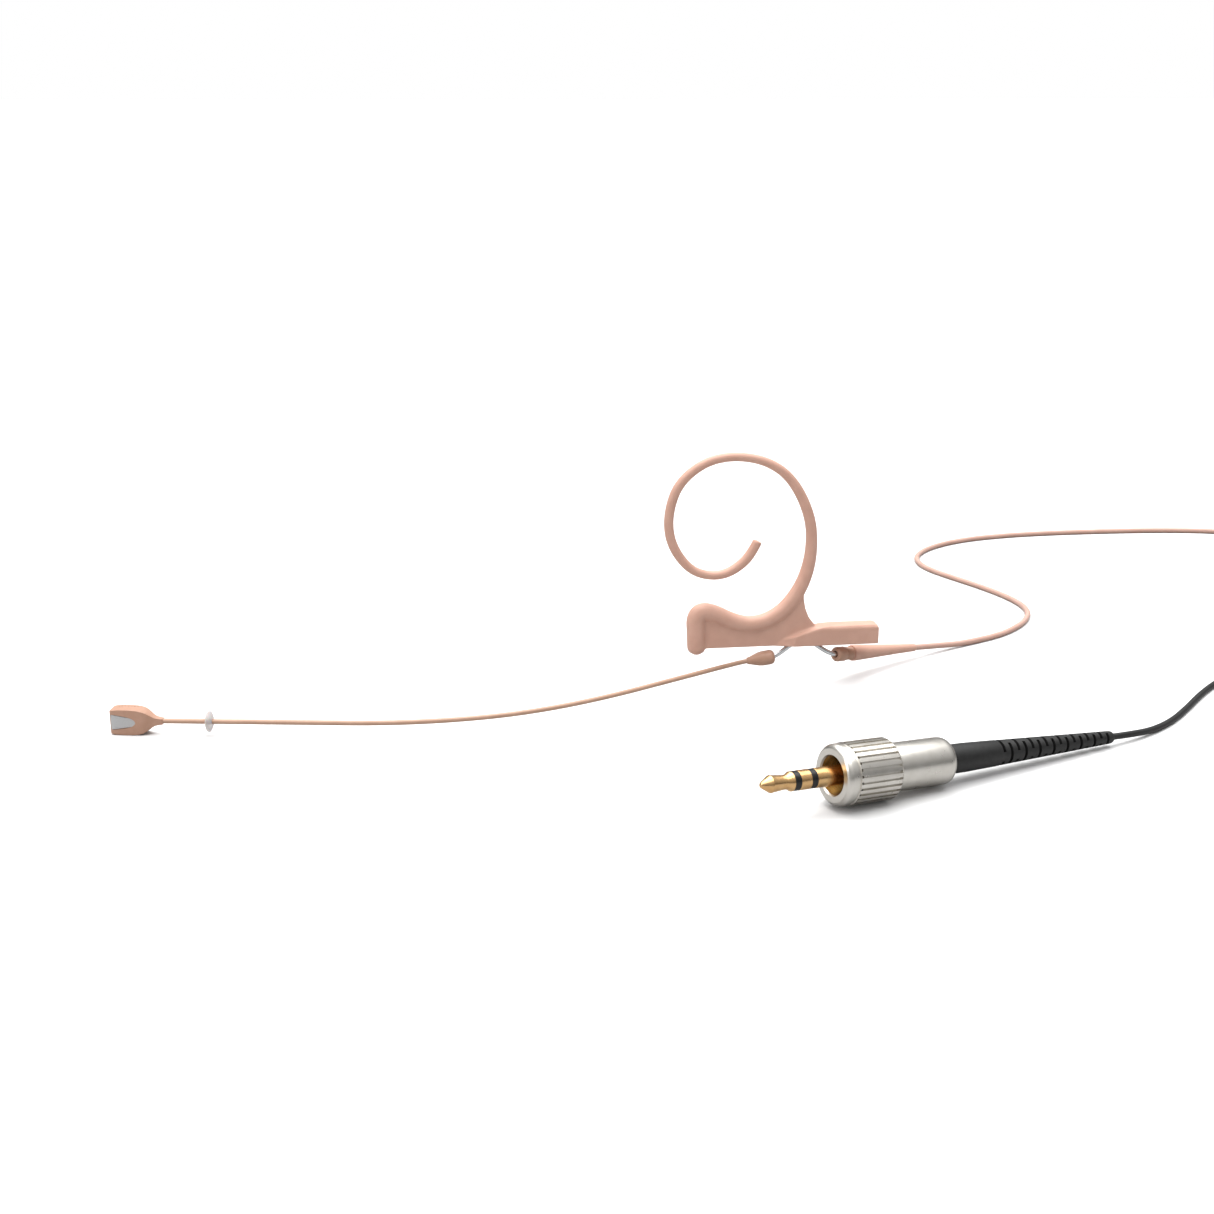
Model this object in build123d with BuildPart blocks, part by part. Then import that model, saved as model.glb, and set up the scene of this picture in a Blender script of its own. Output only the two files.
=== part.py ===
from build123d import *
import math
import os

os.makedirs("parts", exist_ok=True)

# Single-ear headset microphone: capsule head, boom, ear hook, lead, inline coupler and locking 3.5 mm plug.
# Millimetres. +Z is up, the boom runs along X, and the object stands on Z = 0.
# Driving dimensions.
boom_d = 1.0
boom_bore = 0.5
hanger_d = 1.0
lead_d = 1.3
lead_r = lead_d / 2
shaft_r = 1.75
running_gap = 0.04

# The ear hook's own drawing lies in an upright plane that holds the hanger's straight stretch.
hook_x = 14.7
hook_y = 5.25
hook_plane = Plane(origin=(hook_x, hook_y, 0), x_dir=(1, 0, 0), z_dir=(0, -1, 0))
pivot_z = 9.2


def bend_radii(points):
    """Radius for each corner of a route: 0.45 of the shorter run over the tangent of half the turn."""
    radii = []
    for before, corner, after in zip(points, points[1:], points[2:]):
        first = Vector(*corner) - Vector(*before)
        second = Vector(*after) - Vector(*corner)
        half_turn = math.radians(first.get_angle(second)) / 2
        radii.append(0.45 * min(first.length, second.length) / math.tan(half_turn))
    return radii


def along(start, direction, distance):
    """Point at a distance from start."""
    return tuple(Vector(*start) + Vector(*direction).normalized() * distance)


def side_plane(start, direction):
    """Plane through an axis, its x along the axis, to draw half profiles of turned pieces on."""
    forward = Vector(*direction).normalized()
    return Plane(origin=start, x_dir=forward, z_dir=forward.cross(Vector(0, 0, 1)).normalized())


# ---------------------------------------------------------------- boom and capsule head
neck_point = (-73.8, -7.4, 2.6)
boom_route = [
    (46.6, 5.25, 5.63),
    (42.1, 5.25, 5.0),
    (24.9, -4.4, 4.9),
    (14.0, -10.4, 4.8),
    (3.6, -14.7, 4.6),
    (-6.2, -17.1, 4.3),
    (-15.8, -17.8, 4.0),
    (-25.3, -17.4, 3.7),
    (-34.7, -15.9, 3.4),
    neck_point,
]
straight_end = boom_route[-2]
boom_out = Vector(*neck_point) - Vector(*straight_end)
head_dir = Vector(boom_out.X, boom_out.Y, 0).normalized()
head_back = head_dir.cross(Vector(0, 0, 1))
head_side = Plane(origin=neck_point, x_dir=head_dir, z_dir=head_back)
head_plan = Plane(origin=neck_point, x_dir=head_dir, z_dir=(0, 0, 1))
head_length = 9.5
head_half_height = 2.6
head_half_depth = 1.6
head_wall = 0.35
neck_r = 0.75
seam_depth = 0.3
mesh_thickness = 0.15
gasket_width = 0.2


def head_form(inset):
    """Spade shape of the head: its side outline cut by its plan outline, each drawn inset."""
    with BuildPart() as form:
        with BuildSketch(head_side):
            with BuildLine():
                half = FilletPolyline(
                    (0, neck_r),
                    (1.2, 0.9),
                    (2.6, 2.35),
                    (5.2, head_half_height),
                    (7.4, head_half_height),
                    (head_length - 0.25, 2.35),
                    (head_length, 0),
                    radius=[1.3, 1.3, 6, 6, 0.4],
                )
                Line((0, 0), half @ 0)
                mirror(about=Plane.XZ)
            make_face()
            if inset:
                offset(amount=-inset, kind=Kind.INTERSECTION)
        extrude(amount=head_half_depth * 2, both=True)
        with BuildSketch(head_plan):
            with BuildLine():
                half = FilletPolyline(
                    (0, neck_r),
                    (1.4, 0.85),
                    (3.2, head_half_depth),
                    (head_length, head_half_depth),
                    (head_length, 0),
                    radius=[2, 2, 0.8],
                )
                Line((0, 0), half @ 0)
                mirror(about=Plane.XZ)
            make_face()
            if inset:
                offset(amount=-inset, kind=Kind.INTERSECTION)
        extrude(amount=head_half_height * 2, both=True, mode=Mode.INTERSECT)
    return form.part


def window_prism(grow):
    """Tongue-shaped window through the front face and round the free end."""
    with BuildPart() as prism:
        with BuildSketch(head_side.offset(-0.5)):
            with BuildLine():
                tip = ThreePointArc((5.2, -0.85), (4.3, 0), (5.2, 0.85))
                Line(tip @ 1, (head_length + 1, 1.75))
                Line((head_length + 1, 1.75), (head_length + 1, -1.75))
                Line((head_length + 1, -1.75), tip @ 0)
            make_face()
            if grow:
                offset(amount=grow)
        extrude(amount=-2)
    return prism.part


outer_form = head_form(0)
inner_form = head_form(head_wall)
window = window_prism(0)
window_frame = window_prism(gasket_width)

with BuildPart() as head_shell:
    add(outer_form)
    add(inner_form, mode=Mode.SUBTRACT)
    with BuildSketch(Plane(origin=neck_point, z_dir=head_dir)):
        Circle(boom_d / 2)
    extrude(amount=1.2, mode=Mode.SUBTRACT)

with BuildPart() as head_front:
    add(head_shell.part)
    with BuildSketch(head_side.offset(seam_depth)):
        Rectangle(3 * head_length, 3 * head_length)
    extrude(amount=-3 * head_half_depth, mode=Mode.INTERSECT)
    add(window_frame, mode=Mode.SUBTRACT)

with BuildPart() as head_rear:
    add(head_shell.part)
    with BuildSketch(head_side.offset(seam_depth)):
        Rectangle(3 * head_length, 3 * head_length)
    extrude(amount=3 * head_half_depth, mode=Mode.INTERSECT)

with BuildPart() as head_gasket:
    add(head_form(0.03))
    add(inner_form, mode=Mode.SUBTRACT)
    add(window_frame, mode=Mode.INTERSECT)
    add(window, mode=Mode.SUBTRACT)

with BuildPart() as head_mesh:
    add(head_form(0.1))
    add(head_form(0.1 + mesh_thickness), mode=Mode.SUBTRACT)
    add(window, mode=Mode.INTERSECT)

capsule_at = 6.6
capsule_r = 1.5
with BuildPart() as capsule:
    with BuildSketch(head_side.offset(-0.85)):
        with Locations((capsule_at, 0)):
            Circle(capsule_r)
    extrude(amount=1.1)

with BuildPart() as capsule_felt:
    with BuildSketch(head_side.offset(-1.1)):
        with Locations((capsule_at, 0)):
            Circle(capsule_r)
    extrude(amount=0.25)

with BuildPart() as capsule_board:
    with BuildSketch(head_side.offset(0.3)):
        with Locations((5.6, 0)):
            RectangleRounded(5.4, 2.8, 0.3)
    extrude(amount=0.3)

with BuildPart() as head_collar:
    with BuildSketch(side_plane(along(neck_point, boom_out, -0.7), boom_out)):
        with BuildLine():
            FilletPolyline(
                (0, boom_d / 2),
                (0, 0.85),
                (0.69, 0.85),
                (0.69, boom_d / 2),
                radius=0.12,
            )
            Line((0.69, boom_d / 2), (0, boom_d / 2))
        make_face()
    revolve(axis=Axis(neck_point, boom_out))

with BuildPart() as boom_tube:
    with BuildLine() as boom_line:
        FilletPolyline(*boom_route, along(neck_point, head_dir, 0.9), radius=bend_radii(boom_route) + [8])
    with BuildSketch(Plane(origin=boom_line.line @ 0, z_dir=boom_line.line % 0)):
        Circle(boom_d / 2)
        Circle(boom_bore / 2, mode=Mode.SUBTRACT)
    sweep(path=boom_line.line)

with BuildPart() as boom_conductor:
    with BuildSketch(Plane(origin=boom_line.line @ 0, z_dir=boom_line.line % 0)):
        Circle(boom_bore / 2)
    sweep(path=boom_line.line)

# Sweat stop: a soft round-edged disc that slides along the boom's straight stretch.
stop_back = 9.7
stop_r = 2.1
stop_half = 0.65
stop_centre = along(neck_point, boom_out, -stop_back)
with BuildPart() as sweat_stop:
    with BuildSketch(side_plane(stop_centre, boom_out)):
        with BuildLine():
            bore_line = Line((-stop_half, boom_d / 2 + running_gap), (stop_half, boom_d / 2 + running_gap))
            face = Line(bore_line @ 1, (stop_half, 1.2))
            rim = ThreePointArc(face @ 1, (0, stop_r), (-stop_half, 1.2))
            Line(rim @ 1, bore_line @ 0)
        make_face()
    revolve(axis=Axis(stop_centre, boom_out))

# ---------------------------------------------------------------- sleeve, hanger and strain relief
sleeve_start = (43.7, 5.25, 5.22)
sleeve_dir = Vector(5.7, 0, 0.8).normalized()
sleeve_length = 5.8
sleeve_r = 1.55
crimp_r = 1.0
crimp_from = 1.2
crimp_to = 4.8
with BuildPart() as boom_sleeve:
    with BuildSketch(side_plane(sleeve_start, sleeve_dir)):
        with BuildLine():
            nose = Spline(
                (0, 0.72),
                (1.5, 1.2),
                (3.4, sleeve_r),
                tangents=[(1, 0.25), (1, 0)],
            )
            shoulder = Line(nose @ 1, (sleeve_length - 0.9, sleeve_r))
            tail = RadiusArc(shoulder @ 1, (sleeve_length, sleeve_r - 0.9), 0.9)
            Polyline(tail @ 1, (sleeve_length, hanger_d / 2), (crimp_to, hanger_d / 2), (crimp_to, crimp_r))
            Polyline((crimp_to, crimp_r), (crimp_from, crimp_r), (crimp_from, boom_d / 2), (0, boom_d / 2))
            Line((0, boom_d / 2), nose @ 0)
        make_face()
    revolve(axis=Axis(sleeve_start, sleeve_dir))

with BuildPart() as sleeve_crimp:
    with BuildSketch(Plane(origin=along(sleeve_start, sleeve_dir, crimp_from), z_dir=sleeve_dir)):
        Circle(crimp_r)
        Circle(boom_d / 2, mode=Mode.SUBTRACT)
    extrude(amount=crimp_to - crimp_from)

relief_start = (62.1, hook_y, 5.85)
relief_end = (83.5, 17.35, 2.5)
relief_dir = Vector(*relief_end) - Vector(*relief_start)
relief_length = relief_dir.length
hanger_route = [
    along(sleeve_start, sleeve_dir, 2.98),
    along(sleeve_start, sleeve_dir, sleeve_length + 0.5),
    (hook_x + 39.3, hook_y, pivot_z),
    (hook_x + 41.7, hook_y, pivot_z),
    relief_start,
    along(relief_start, relief_dir, 4.5),
]
with BuildPart() as hanger:
    with BuildLine() as hanger_line:
        FilletPolyline(*hanger_route, radius=[0.9, 1.5, 1.5, 0.7])
    with BuildSketch(Plane(origin=hanger_line.line @ 0, z_dir=hanger_line.line % 0)):
        Circle(hanger_d / 2)
        Circle(boom_bore / 2, mode=Mode.SUBTRACT)
    sweep(path=hanger_line.line)

relief_side = side_plane(relief_start, relief_dir)
relief_axis = Axis(relief_start, relief_dir)
ring_from = 0.45
ring_to = 3.1
bush_to = 5.2
flange_to = 6.0
relief_crimp_to = 8.0
with BuildPart() as relief_ring:
    with BuildSketch(relief_side):
        with BuildLine():
            Polyline((ring_from, 0.8), (ring_from, 1.35), (ring_from + 0.2, 1.55), (ring_to, 1.55))
            Polyline((ring_to, 1.55), (ring_to, hanger_d / 2), (ring_from + 0.5, hanger_d / 2))
            Line((ring_from + 0.5, hanger_d / 2), (ring_from, 0.8))
        make_face()
    revolve(axis=relief_axis)

with BuildPart() as relief_bush:
    with BuildSketch(relief_side):
        with BuildLine():
            Polyline((ring_to, hanger_d / 2), (ring_to, 1.4), (bush_to, 1.4), (bush_to, 1.0))
            Polyline((bush_to, 1.0), (bush_to - 1.0, 1.0), (bush_to - 1.0, hanger_d / 2))
            Line((bush_to - 1.0, hanger_d / 2), (ring_to, hanger_d / 2))
        make_face()
    revolve(axis=relief_axis)

with BuildPart() as relief_crimp:
    with BuildSketch(relief_side):
        with BuildLine():
            Polyline((bush_to - 1.0, hanger_d / 2), (bush_to - 1.0, 1.0), (relief_crimp_to, 1.0))
            Polyline((relief_crimp_to, 1.0), (relief_crimp_to, lead_r), (bush_to, lead_r))
            Polyline((bush_to, lead_r), (bush_to, hanger_d / 2), (bush_to - 1.0, hanger_d / 2))
        make_face()
    revolve(axis=relief_axis)

with BuildPart() as relief_cone:
    with BuildSketch(relief_side):
        with BuildLine():
            Polyline((bush_to, 1.0), (bush_to, 1.72), (flange_to, 1.72), (relief_length, 0.83))
            Polyline((relief_length, 0.83), (relief_length, lead_r), (relief_crimp_to, lead_r))
            Polyline((relief_crimp_to, lead_r), (relief_crimp_to, 1.0), (bush_to, 1.0))
        make_face()
    revolve(axis=relief_axis)

with BuildPart() as relief_lead:
    with BuildSketch(Plane(origin=along(relief_start, relief_dir, bush_to), z_dir=relief_dir)):
        Circle(lead_r)
    extrude(amount=relief_length - bush_to)

# ---------------------------------------------------------------- ear hook
# Centre line of the loop, from its free end round to the nose.
loop_points = [
    (30.5, 30.6),
    (27.3, 26.0),
    (20.6, 24.1),
    (14.6, 28.3),
    (12.3, 35.5),
    (14.7, 43.3),
    (21.3, 48.35),
    (29.7, 48.25),
    (37.0, 43.9),
    (41.2, 35.6),
    (41.3, 26.0),
    (37.9, 18.1),
    (32.2, 14.0),
    (26.2, 14.2),
    (20.9, 16.1),
]
loop_r = 0.97
bend_r = 1.25
root_r = 1.75
wire_r = 0.4
bend_from = 9
root_from = 11


def loop_part(first, last, tube_r):
    """Stretch of the loop's tube between two of its points, with a rounded end at the first."""
    stretch = loop_points[first:last]
    with BuildPart() as part:
        with BuildLine(hook_plane) as line:
            FilletPolyline(*stretch, radius=bend_radii([(x, z, 0) for x, z in stretch]))
        with BuildSketch(Plane(origin=line.line @ 0, z_dir=line.line % 0)):
            Circle(tube_r)
        sweep(path=line.line)
        with Locations(line.line @ 0):
            Sphere(tube_r - 0.02)
    return part.part


bar_bottom = 8.4
bar_top = 12.7
bar_right = 56.5
bar_half_depth = 1.9
web_half_depth = 0.75
slot_half_depth = 1.1
clip_from = 39.95
clip_to = 41.05
clip_bore_r = hanger_d / 2 + running_gap
clip_mouth = 0.86

with BuildPart() as hook_web:
    with BuildSketch(hook_plane):
        with BuildLine():
            Polyline((18.4, 9.0), (18.4, 14.6), (22.0, 14.9), (26.2, 13.6), (32.2, 13.5), (38.2, 17.8))
            Line((38.2, 17.8), (40.3, 21.4))
            edge = ThreePointArc((40.3, 21.4), (40.6, 16.6), (43.0, 12.6))
            Polyline(edge @ 1, (43.0, bar_bottom), (20.0, bar_bottom), (18.4, 9.0))
        make_face()
    extrude(amount=web_half_depth, both=True)

with BuildPart() as hook_bar:
    with BuildSketch(hook_plane):
        Polygon(
            (34.4, bar_bottom),
            (bar_right, bar_bottom),
            (bar_right, bar_top),
            (42.2, bar_top),
            (35.4, 10.7),
            align=None,
        )
    extrude(amount=bar_half_depth, both=True)
    fillet(hook_bar.edges().filter_by(Axis.X).group_by(Axis.Z)[-1], 1.3)
    fillet(hook_bar.faces().sort_by(Axis.X)[-1].edges(), 0.35)

nose_route = [(20.4, 15.95), (18.4, 15.5), (18.3, 8.9)]
with BuildPart() as hook_nose:
    with BuildLine(hook_plane) as nose_line:
        FilletPolyline(*nose_route, radius=2.0)
    with BuildSketch(Plane(origin=nose_line.line @ 0, z_dir=nose_line.line % 0)):
        Circle(root_r)
    sweep(path=nose_line.line)
    with Locations(nose_line.line @ 1, nose_line.line @ 0):
        Sphere(root_r - 0.02)

# The spring wire inside the loop keeps the hook's shape; the clip holds the hanger inside the bar.
with BuildPart() as hook_wire:
    with BuildLine(hook_plane) as wire_line:
        wire_points = loop_points[1:]
        FilletPolyline(*wire_points, radius=bend_radii([(x, z, 0) for x, z in wire_points]))
    with BuildSketch(Plane(origin=wire_line.line @ 0, z_dir=wire_line.line % 0)):
        Circle(wire_r)
    sweep(path=wire_line.line)

with BuildPart() as hook_clip:
    with BuildSketch(hook_plane):
        Polygon(
            (clip_from, bar_bottom),
            (clip_to, bar_bottom),
            (clip_to, 9.7),
            (54.5, 9.7),
            (54.5, 11.4),
            (clip_from, 11.4),
            align=None,
        )
    extrude(amount=slot_half_depth, both=True)
    with BuildSketch(Plane.YZ.offset(hook_x + clip_from)):
        with Locations((hook_y, pivot_z)):
            Circle(clip_bore_r)
        with Locations((hook_y, bar_bottom)):
            Rectangle(clip_mouth, 2 * (pivot_z - bar_bottom))
    extrude(amount=clip_to - clip_from, mode=Mode.SUBTRACT)
    for leg_from, leg_to in ((36.0, clip_from), (clip_to, 45.5)):
        with BuildSketch(hook_plane):
            with Locations(((leg_from + leg_to) / 2, 9.3)):
                Rectangle(leg_to - leg_from, 2.0)
        extrude(amount=slot_half_depth, both=True, mode=Mode.SUBTRACT)

with BuildPart() as ear_hook:
    add(loop_part(0, None, loop_r))
    add(loop_part(bend_from, None, bend_r))
    add(loop_part(root_from, None, root_r))
    add(hook_web.part)
    add(hook_bar.part)
    add(hook_nose.part)
    with BuildSketch(hook_plane):
        with Locations((40.75, 9.2)):
            Rectangle(9.5, 2.0)
    extrude(amount=slot_half_depth, both=True, mode=Mode.SUBTRACT)
    add(hook_clip.part, mode=Mode.SUBTRACT)
    add(hook_wire.part, mode=Mode.SUBTRACT)

# ---------------------------------------------------------------- lead, coil, tie and coupler
# Route of the lead, from the strain relief to the coil. The first bend lies on the floor.
lead_route = [
    relief_end,
    (88.9, 20.4, 1.65),
    (95.0, 23.2, 0.85),
    (101.5, 26.1, 0.65),
    (108.0, 29.6, 0.65),
    (113.4, 34.3, 0.65),
    (117.6, 39.6, 0.65),
    (120.2, 45.4, 0.65),
    (120.6, 51.8, 0.65),
    (119.2, 58.9, 0.65),
    (115.6, 68.2, 0.65),
    (111.3, 77.0, 0.65),
    (108.3, 84.0, 0.65),
    (107.4, 90.6, 0.65),
    (109.0, 97.0, 0.65),
    (113.2, 102.9, 0.65),
    (120.0, 108.3, 0.65),
    (129.5, 112.6, 0.65),
    (141.4, 115.0, 0.65),
    (155.0, 115.9, 0.65),
    (171.0, 115.6, 0.65),
    (187.0, 114.5, 0.65),
    (200.5, 111.6, 0.65),
    (209.0, 106.2, 0.65),
    (213.3, 98.8, 0.65),
    (213.6, 90.5, 0.65),
    (210.2, 82.0, 0.65),
    (205.0, 74.0, 0.75),
    (201.0, 66.5, 1.05),
    (199.6, 60.5, 1.05),
]
coil_x = 190.0
coil_y = 54.0
coil_mean_r = 7.15
coil_wide = 5
coil_high = 4
tie_thickness = 0.4
tie_width = 2.0
coil_half_width = coil_wide * lead_r
coil_height = coil_high * lead_d


def cord_tube(route):
    """Plain round tube along straight runs joined by tangent arcs; prints its length and bend radii."""
    radii = bend_radii(route)
    with BuildPart() as tube:
        with BuildLine() as line:
            FilletPolyline(*route, radius=radii)
        path = line.line
        with BuildSketch(Plane(origin=path @ 0, z_dir=path % 0)):
            Circle(lead_r)
        sweep(path=path)
    length = sum(edge.length for edge in path.edges())
    share = tube.part.volume / (math.pi * lead_r**2 * length)
    print("length", round(length, 1), "volume share", round(share, 4), "radii", [round(r, 1) for r in radii])
    return tube.part


with BuildPart() as lead:
    add(cord_tube(lead_route))

with BuildPart() as lead_coil:
    with BuildSketch(Plane(origin=(coil_x, coil_y, 0), x_dir=(1, 0, 0), z_dir=(0, -1, 0))):
        with Locations((coil_mean_r, tie_thickness + coil_height / 2)):
            RectangleRounded(coil_half_width * 2, coil_height, lead_r)
    revolve(axis=Axis((coil_x, coil_y, 0), (0, 0, 1)))

with BuildPart() as coil_tie:
    tie_at = (coil_x - coil_mean_r, coil_y + tie_width / 2, 0)
    with BuildSketch(Plane(origin=tie_at, x_dir=(1, 0, 0), z_dir=(0, -1, 0))):
        with Locations((0, (coil_height + 2 * tie_thickness) / 2)):
            RectangleRounded(coil_half_width * 2 + 2 * tie_thickness, coil_height + 2 * tie_thickness, 0.9)
            RectangleRounded(coil_half_width * 2, coil_height, 0.5, mode=Mode.SUBTRACT)
    extrude(amount=tie_width)

coupler_front = (166.0, 14.3, 2.3)
coupler_dir = Vector(math.cos(math.radians(60)), math.sin(math.radians(60)), 0)
coupler_length = 24.0
coupler_side = side_plane(coupler_front, coupler_dir)
coupler_axis = Axis(coupler_front, coupler_dir)
coupler_rear = along(coupler_front, coupler_dir, coupler_length)

tail_route = [
    (195.9, 47.4, 4.2),
    (192.0, 44.2, 2.9),
    (187.4, 41.9, 1.5),
    (183.2, 40.6, 1.3),
    along(coupler_front, coupler_dir, coupler_length + 3.6),
    coupler_rear,
]
with BuildPart() as lead_tail:
    add(cord_tube(tail_route))

plug_front = (44.7, -59.2, 6.28)
plug_turn = math.radians(20)
plug_drop = math.radians(4)
plug_dir = Vector(
    math.cos(plug_turn) * math.cos(plug_drop),
    math.sin(plug_turn) * math.cos(plug_drop),
    -math.sin(plug_drop),
)
plug_side = side_plane(plug_front, plug_dir)
plug_axis = Axis(plug_front, plug_dir)
boot_end = 63.9

plug_lead_route = [
    along(plug_front, plug_dir, boot_end),
    along(plug_front, plug_dir, boot_end + 5),
    (115.2, -32.6, 0.8),
    (121.2, -28.1, 0.65),
    (127.2, -21.9, 0.65),
    (133.6, -14.6, 0.65),
    (140.4, -7.9, 0.65),
    (148.0, -2.2, 0.65),
    (155.2, 2.6, 0.65),
    (160.3, 6.5, 1.1),
    along(coupler_front, coupler_dir, -4.5),
    coupler_front,
]
with BuildPart() as plug_lead:
    add(cord_tube(plug_lead_route))


def turned(side, axis, outline):
    """Round piece from a closed half profile, given as distance along the axis and radius."""
    with BuildPart() as piece:
        with BuildSketch(side):
            with BuildLine():
                Polyline(*outline, close=True)
            make_face()
        revolve(axis=axis)
    return piece.part


def knurl(plane_at, start, end, outer_r, depth, count, width):
    """Bars that cut straight grooves into a turned ring."""
    with BuildPart() as bars:
        with BuildSketch(plane_at.offset(start)):
            with PolarLocations(outer_r, count):
                Rectangle(2 * depth, width)
        extrude(amount=end - start)
    return bars.part


with BuildPart() as coupler_boot_front:
    add(turned(coupler_side, coupler_axis, [(0, 0), (0, 0.95), (4.0, 1.5), (4.0, 0)]))

with BuildPart() as coupler_plug_shell:
    add(
        turned(
            coupler_side,
            coupler_axis,
            [(4.0, 0), (4.0, 1.85), (9.0, 1.85), (9.0, 1.7), (12.8, 1.7), (12.8, 0.9), (6.0, 0.9), (6.0, 0)],
        )
    )

with BuildPart() as coupler_plug_core:
    add(turned(coupler_side, coupler_axis, [(6.0, 0.3), (6.0, 0.9), (12.8, 0.9), (12.8, 0.3)]))

with BuildPart() as coupler_pin:
    add(turned(coupler_side, coupler_axis, [(6.0, 0), (6.0, 0.3), (15.0, 0.3), (15.6, 0)]))

with BuildPart() as coupler_nut:
    add(
        turned(
            coupler_side,
            coupler_axis,
            [
                (9.3, 1.7 + running_gap),
                (9.3, 2.1),
                (9.6, 2.25),
                (14.6, 2.25),
                (14.9, 2.1),
                (14.9, 1.7 + running_gap),
            ],
        )
    )
    coupler_face = Plane(origin=coupler_front, z_dir=coupler_dir)
    add(knurl(coupler_face, 9.9, 14.3, 2.25, 0.12, 20, 0.3), mode=Mode.SUBTRACT)

with BuildPart() as coupler_socket_shell:
    add(
        turned(
            coupler_side,
            coupler_axis,
            [
                (12.8, 1.1),
                (12.8, 1.65),
                (15.1, 1.65),
                (15.1, 1.85),
                (20.0, 1.85),
                (20.0, 0),
                (18.5, 0),
                (18.5, 1.1),
            ],
        )
    )

with BuildPart() as coupler_socket_core:
    add(
        turned(
            coupler_side,
            coupler_axis,
            [(12.8, 0.33), (12.8, 1.1), (18.5, 1.1), (18.5, 0), (16.0, 0), (16.0, 0.33)],
        )
    )

with BuildPart() as coupler_boot_rear:
    add(turned(coupler_side, coupler_axis, [(20.0, 0), (20.0, 1.5), (24.0, 0.95), (24.0, 0)]))

# ---------------------------------------------------------------- locking plug
# Distances run from the lock ring's front face; the pin stands out to the negative side.
tip_end = -14.6
tip_back = -8.4
ring_front = -7.14
ring_back = -5.0
sleeve_front = -3.8
rod_r = 0.45
tube_r = 0.8
lock_r = 5.5
lock_length = 11.3
lock_bore_r = 3.33
stem_r = 2.6
shell_r = 4.3
shell_end = 24.4
boot_r = 2.65
boot_end_r = 1.2

with BuildPart() as plug_tip:
    with BuildSketch(plug_side):
        with BuildLine():
            nose_cap = ThreePointArc((tip_end, 0), (tip_end + 0.18, 0.42), (tip_end + 0.5, 0.7))
            cone = Line(nose_cap @ 1, (tip_end + 1.92, 1.56))
            waist = Spline(
                cone @ 1,
                (tip_end + 3.4, 1.42),
                (tip_end + 4.9, 1.27),
                (tip_end + 5.9, shaft_r),
                tangents=[(1, 0.1), (1, 1.2)],
            )
            Polyline(waist @ 1, (tip_back, shaft_r), (tip_back, rod_r), (5.0, rod_r), (5.0, 0), nose_cap @ 0)
        make_face()
    revolve(axis=plug_axis)

with BuildPart() as plug_insulator_tip:
    add(
        turned(
            plug_side,
            plug_axis,
            [
                (tip_back, rod_r),
                (tip_back, shaft_r),
                (ring_front, shaft_r),
                (ring_front, tube_r),
                (4.5, tube_r),
                (4.5, rod_r),
            ],
        )
    )

with BuildPart() as plug_ring:
    add(
        turned(
            plug_side,
            plug_axis,
            [
                (ring_front, tube_r),
                (ring_front, shaft_r),
                (ring_back, shaft_r),
                (ring_back, 1.1),
                (4.0, 1.1),
                (4.0, tube_r),
            ],
        )
    )

with BuildPart() as plug_insulator_sleeve:
    add(
        turned(
            plug_side,
            plug_axis,
            [
                (ring_back, 1.1),
                (ring_back, shaft_r),
                (sleeve_front, shaft_r),
                (sleeve_front, 1.35),
                (3.5, 1.35),
                (3.5, 1.1),
            ],
        )
    )

with BuildPart() as plug_sleeve:
    add(
        turned(
            plug_side,
            plug_axis,
            [
                (sleeve_front, 1.35),
                (sleeve_front, shaft_r),
                (7.2, shaft_r),
                (7.2, 3.0),
                (8.4, 3.0),
                (8.4, stem_r - running_gap),
                (11.4, stem_r - running_gap),
                (11.4, 1.35),
            ],
        )
    )

with BuildPart() as plug_terminals:
    add(
        turned(
            plug_side,
            plug_axis,
            [
                (5.0, 0),
                (5.0, 1.35),
                (11.6, 1.35),
                (11.6, 2.4),
                (14.0, 2.4),
                (14.0, 1.0),
                (17.0, 1.0),
                (17.0, 0),
            ],
        )
    )

with BuildPart() as plug_lock_ring:
    add(
        turned(
            plug_side,
            plug_axis,
            [
                (0, lock_bore_r + 0.25),
                (0, 4.73),
                (0.25, 5.15),
                (0.8, lock_r),
                (lock_length - 0.3, lock_r),
                (lock_length, lock_r - 0.3),
                (lock_length, stem_r),
                (8.5, stem_r),
                (8.5, lock_bore_r),
                (0.25, lock_bore_r),
            ],
        )
    )
    plug_face = Plane(origin=plug_front, z_dir=plug_dir)
    add(knurl(plug_face, 2.4, lock_length, lock_r, 0.25, 30, 0.42), mode=Mode.SUBTRACT)

with BuildPart() as plug_shell:
    add(
        turned(
            plug_side,
            plug_axis,
            [
                (11.4, 2.4),
                (11.4, shell_r),
                (shell_end - 1.0, shell_r),
                (shell_end - 0.3, shell_r - 0.3),
                (shell_end, shell_r - 1.0),
                (shell_end, boot_r + 0.05),
                (shell_end - 1.5, boot_r + 0.05),
                (shell_end - 1.5, 3.5),
                (12.6, 3.5),
                (12.6, 2.4),
            ],
        )
    )

with BuildPart() as plug_clamp:
    add(turned(plug_side, plug_axis, [(17.6, lead_r), (17.6, 1.9), (21.5, 1.9), (21.5, lead_r)]))

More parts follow.
